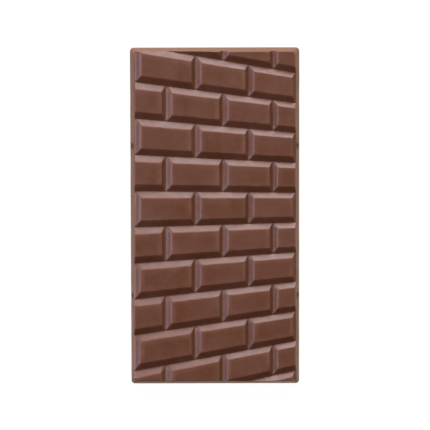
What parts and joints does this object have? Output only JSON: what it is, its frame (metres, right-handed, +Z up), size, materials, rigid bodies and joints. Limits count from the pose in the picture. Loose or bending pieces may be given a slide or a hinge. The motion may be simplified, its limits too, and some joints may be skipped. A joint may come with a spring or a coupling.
{
  "type": "chocolate bar",
  "caption": "Moulded milk chocolate tablet, flat at the back, its face a brick wall in relief drawn in perspective, with sloping sides and rounded edges.",
  "frame": {"origin": "middle of the flat back, at the middle of the bounding box's base", "axes": "+Y along the tablet's length, +X across it to the side where the courses draw together, +Z up through its thickness, out of the relief"},
  "size_m": [0.0772, 0.1542, 0.0074],
  "materials": {
    "milk_chocolate": "satin"
  },
  "bodies": {
    "root": {"bar": "milk_chocolate"}
  },
  "joints": []
}
